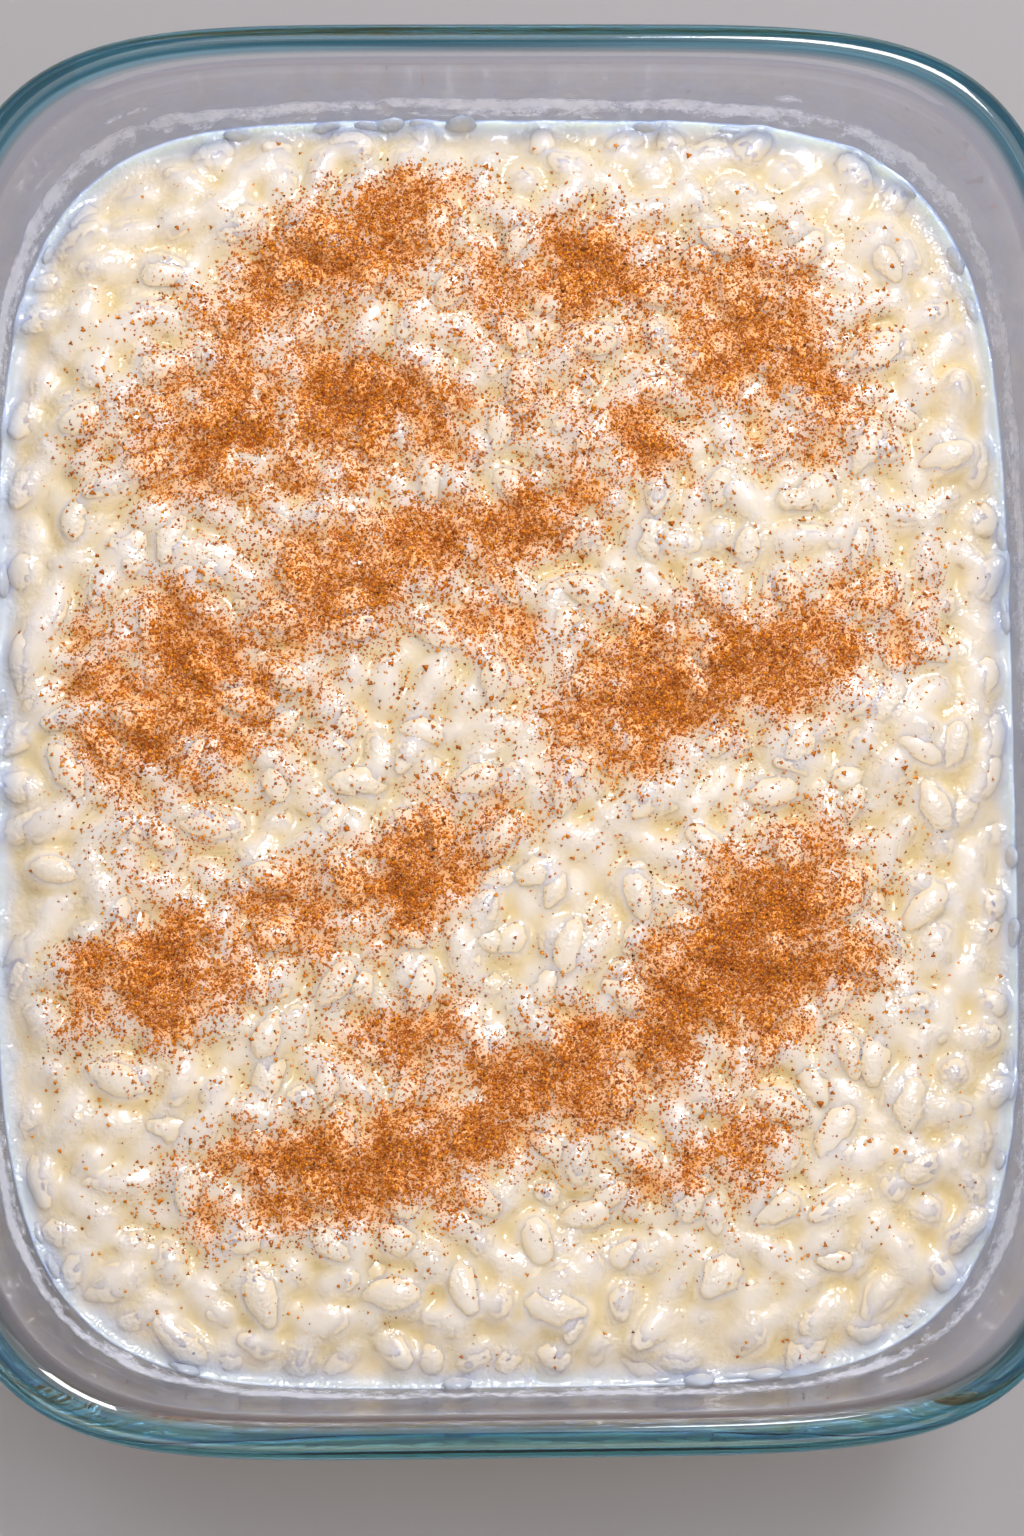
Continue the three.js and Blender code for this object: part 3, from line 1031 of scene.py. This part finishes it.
def food_material(name, groups, colours, light_share):
    """Wet, starchy and translucent, dusted with cinnamon."""
    material, tree, shader, place = new_material(name)
    raised, hollow_shade_colour, pale, at_side = colours
    side = attribute(tree, "side")
    mottle = ramp(tree, noise(tree, place, 220.0, 1.0), 0.35, 0.7)
    tone = maths(tree, "MULTIPLY", maths(tree, "ADD", attribute(tree, "tone"), mottle), 0.5)
    bare = blend_colours(tree, tone, raised, pale)
    # painted light: steep sides take on a warm glow
    bare = blend_colours(tree, attribute(tree, "flank_glow"), bare, PAINTED_FLANK_GLOW)
    # painted shade: hollows and creases between grains get a darker, warmer colour
    bare = blend_colours(tree, attribute(tree, "hollow_shade"), bare, hollow_shade_colour)
    bare = blend_colours(tree, attribute(tree, "edge"), bare, MILK_AT_GLASS)
    bare = blend_colours(tree, side, bare, at_side)
    dusted = use_group(tree, groups["dusting"], Place=place, Dusting=attribute(tree, "dusting"), Under=bare)
    dull = maths(tree, "MAXIMUM", dusted["Dry"], side)
    shader.subsurface_method = "BURLEY"
    feed_all(
        tree,
        shader.inputs,
        Base_Color=dusted["Colour"],
        Roughness=ramp(tree, dull, 0.0, 1.0, 0.13, 0.8),
        IOR=1.6,
        Subsurface_Weight=light_share,
        Subsurface_Radius=(1.0, 0.8, 0.3),
        Subsurface_Scale=3.5 * MM,
    )
    relief = use_group(tree, groups["relief"], Place=place, Lumps_per_metre=1200.0)
    add_bump(tree, shader, relief["Height"], 0.0005, 0.6)
    return material


def cinnamon_material(name, dark, bright):
    """Dry ground bark, every speck of its own shade."""
    material, tree, shader, place = new_material(name)
    tone = attribute(tree, "tone")
    colour = blend_colours(tree, tone, dark, bright)
    grainy = ramp(tree, noise(tree, place, 3000.0, 2.0), 0.3, 0.7, 0.7, 1.25)
    feed_all(
        tree,
        shader.inputs,
        Base_Color=blend_colours(tree, 1.0, colour, grainy, "MULTIPLY"),
        Roughness=ramp(tree, tone, 0.0, 1.0, 0.6, 0.85),
        Specular_IOR_Level=0.2,
    )
    return material


def film_material():
    """Dried milk, patchy and thin enough to let light through."""
    material, tree, shader, place = new_material("dried_milk")
    cloud = noise(tree, place, 420.0, 4.0, 0.65)
    patchy = maths(tree, "MULTIPLY_ADD", maths(tree, "SUBTRACT", cloud, 0.5), 1.4, attribute(tree, "amount"))
    shader.subsurface_method = "BURLEY"
    feed_all(
        tree,
        shader.inputs,
        Alpha=ramp(tree, patchy, 0.3, 0.95, 0.0, 0.85),
        Base_Color=blend_colours(tree, cloud, FILM_THIN, FILM_THICK),
        Roughness=0.45,
        Subsurface_Weight=1.0,
        Subsurface_Radius=(1.0, 1.0, 1.0),
        Subsurface_Scale=0.5 * MM,
    )
    return material


# -------------------------------- scene


def mark_food(obj, raised, near):
    """Marks on a mesh how steep it is, for a painted warm glow, how deep it lies, for painted shade in
    hollows and creases, how near the glass, and how dusted it is.
    """
    x, y, z = corners_of(obj).T
    normals = np.zeros(len(x) * 3)
    obj.data.vertex_normals.foreach_get("vector", normals)
    # painted light: the steeper a face, the more of the warm glow colour it gets
    add_attribute(obj, "flank_glow", 0.8 * smooth_step(1 - normals[2::3], 0.05, 0.4))
    side = 1 - smooth_step(z, LEVEL - 2.2, LEVEL - 1)
    # painted shade: the lower a point lies under the softened surface round it, in a hollow or a crease, the
    # more of the shade colour it gets
    hollow_shade = smooth_step(read_raster(raised, x, y) - z, -0.4, 1.2)
    hollow_shade = np.maximum(hollow_shade, 0.85 * smooth_step(read_raster(near, x, y) - z, -0.12, 0.4))
    rim = 1 - smooth_step(inset_from_wall(x, y) + 0.8 * wander(x, y, 4, 28), 0.3, 3.6)
    add_attribute(obj, "side", side)
    add_attribute(obj, "hollow_shade", hollow_shade)
    add_attribute(obj, "edge", rim * (1 - side))
    add_attribute(obj, "dusting", dusting_at(x, y) * (1 - side))


def pour_milk(bed, top):
    """Heights of the milk and of the whole surface, and the tone of the bed's grain under each place."""
    x, y = raster_places()
    bed_tops, bed_faces = heights_under(tree_of(bed[1:3]), x, y, ground_at(x, y) - 0.5)
    all_tops, _ = heights_under(tree_of(top[1:3]), x, y, bed_tops)
    tones = np.where(bed_faces < 0, 0.5, bed[3][bed_faces // bed[2].shape[1]])
    milk = milk_heights(bed_tops, all_tops, tones, x, y)
    return milk, np.maximum(all_tops, milk), tones


def make_pudding():
    """The milk and all grains. Gives back the pieces on which powder can fall."""
    rng = np.random.default_rng(2026)
    pattern = model_grain(*GRAIN_MESH)
    bed = make_grains("rice_in_milk", pattern, bed_grains(rng), rng)
    top = make_grains("rice_on_top", pattern, top_grains(rng), rng)
    near_glass = inset_from_wall(*bed[1][:, 0, :2].T) < BARE_MARGIN
    bed[3][near_glass] *= BARE_TONE
    milk, surface, tones = pour_milk(bed, top)
    shows = (bed[1][:, :, 2] > read_raster(milk, bed[1][:, :, 0], bed[1][:, :, 1]) + 0.03).any(axis=1)
    cream = make_cream(milk, blur(tones, 0.4))
    flat_pattern = model_grain(*GLASS_GRAIN_MESH)
    at_glass = [make_grains("", flat_pattern, lay(rng), rng) for lay in (wall_grains, floor_grains)]
    pieces = [cream, grain_piece(bed, shows), grain_piece(top)]
    pieces.append(grain_piece(joined("rice_at_glass", at_glass)))
    groups = {"dusting": dusting_group(), "relief": wet_relief_group()}
    rice = food_material("cooked_rice", groups, RICE_COLOURS, 0.0)
    thick_milk = food_material("thick_milk", groups, MILK_COLOURS, 1.0)
    raised, near = blur(surface, 2.2), blur(surface, 0.9)
    for obj in pieces:
        mark_food(obj, raised, near)
        finish_piece(obj, thick_milk if obj is cream else rice, "rice_pudding", "pudding")
    return pieces[:3]


def make_dusting(surfaces):
    """Every kind of cinnamon speck, fallen on the pieces given."""
    tree = tree_of(*[(corners_of(obj), triangles_of(obj)) for obj in surfaces])
    rng = np.random.default_rng(77)
    materials = {
        "bright": cinnamon_material("bright_cinnamon", *BRIGHT_CINNAMON),
        "brown": cinnamon_material("brown_cinnamon", *BROWN_CINNAMON),
        "dark": cinnamon_material("dark_cinnamon", *DARK_CINNAMON),
    }
    for name, kind, *amounts in CINNAMON_PIECES:
        make_cinnamon(name, rng, tree, *amounts, materials[kind])


CAMERA_DISTANCE = 650.0
CAMERA_PITCH = math.radians(8.3)
CAMERA_SIDE = math.radians(-2.1)
CAMERA_ROLL = math.radians(0.7)
CAMERA_TARGET = Vector((0, -6.5, 58))
CAMERA_LENS = 109.0

FLOOR_COLOUR = (0.30, 0.29, 0.31, 1)
DOME_COLOUR = (0.92, 0.88, 0.82, 1)
DOME_STRENGTHS = (0.52, 0.74)  # at the horizon and high up
LIGHTS = [  # name, place and size in metres, power, colour
    ("window", (0.18, 0.45, 0.62), (0.2, 0.2), 3.6, (0.96, 0.98, 1.0)),
    ("softbox", (0.2, 0.55, 1.0), (0.9, 0.7), 3.9, (1.0, 0.95, 0.9)),
    ("fill", (-0.1, -1.2, 0.55), (1.6, 0.6), 4.8, (1.0, 0.86, 0.68)),
]


def make_camera():
    side, down = math.sin(CAMERA_SIDE), -math.sin(CAMERA_PITCH)
    back = Vector((side, down, math.sqrt(1 - side * side - down * down)))
    up = Vector((math.sin(CAMERA_ROLL), math.cos(CAMERA_ROLL), 0))
    right = up.cross(back).normalized()
    up = back.cross(right)
    camera = bpy.data.objects.new("camera", bpy.data.cameras.new("camera"))
    turn = Matrix((right, up, back)).transposed().to_4x4()
    camera.matrix_world = Matrix.Translation((CAMERA_TARGET + back * CAMERA_DISTANCE) * MM) @ turn
    camera.data.lens = CAMERA_LENS
    camera.data.sensor_fit = "VERTICAL"
    camera.data.sensor_height = 36
    bpy.context.scene.collection.objects.link(camera)
    bpy.context.scene.camera = camera


def add_light(name, place, size, power, colour):
    data = bpy.data.lights.new(name, "AREA")
    data.shape = "RECTANGLE"
    data.size, data.size_y = size
    data.energy = power
    data.color = colour
    light = bpy.data.objects.new(name, data)
    light.location = place
    light.rotation_euler = (Vector((0, 0, 0.04)) - Vector(place)).to_track_quat("-Z", "Y").to_euler()
    bpy.context.scene.collection.objects.link(light)


def make_dome():
    """Soft light from all round, brighter overhead than near the floor."""
    world = bpy.data.worlds.new("studio")
    world.use_nodes = True
    tree = world.node_tree
    split = tree.nodes.new("ShaderNodeSeparateXYZ")
    feed(tree, split.inputs[0], tree.nodes.new("ShaderNodeTexCoord").outputs["Generated"])
    tree.nodes["Background"].inputs["Color"].default_value = DOME_COLOUR
    strength = ramp(tree, split.outputs[2], 0.0, 0.8, *DOME_STRENGTHS)
    feed(tree, tree.nodes["Background"].inputs["Strength"], strength)
    return world


def make_stage():
    deselect_all()
    bpy.ops.mesh.primitive_plane_add(size=6, location=(0, 0, 0))
    floor = bpy.context.object
    floor.name = "floor"
    material, _, shader, _ = new_material("floor")
    shader.inputs["Base Color"].default_value = FLOOR_COLOUR
    shader.inputs["Roughness"].default_value = 0.7
    floor.data.materials.append(material)
    bpy.context.scene.world = make_dome()
    for light in LIGHTS:
        add_light(*light)


make_camera()
make_stage()
make_dish()
make_dusting(make_pudding())
make_milk_film(film_material())
bpy.context.scene.view_settings.view_transform = "Standard"
bpy.context.scene.cycles.use_denoising = True
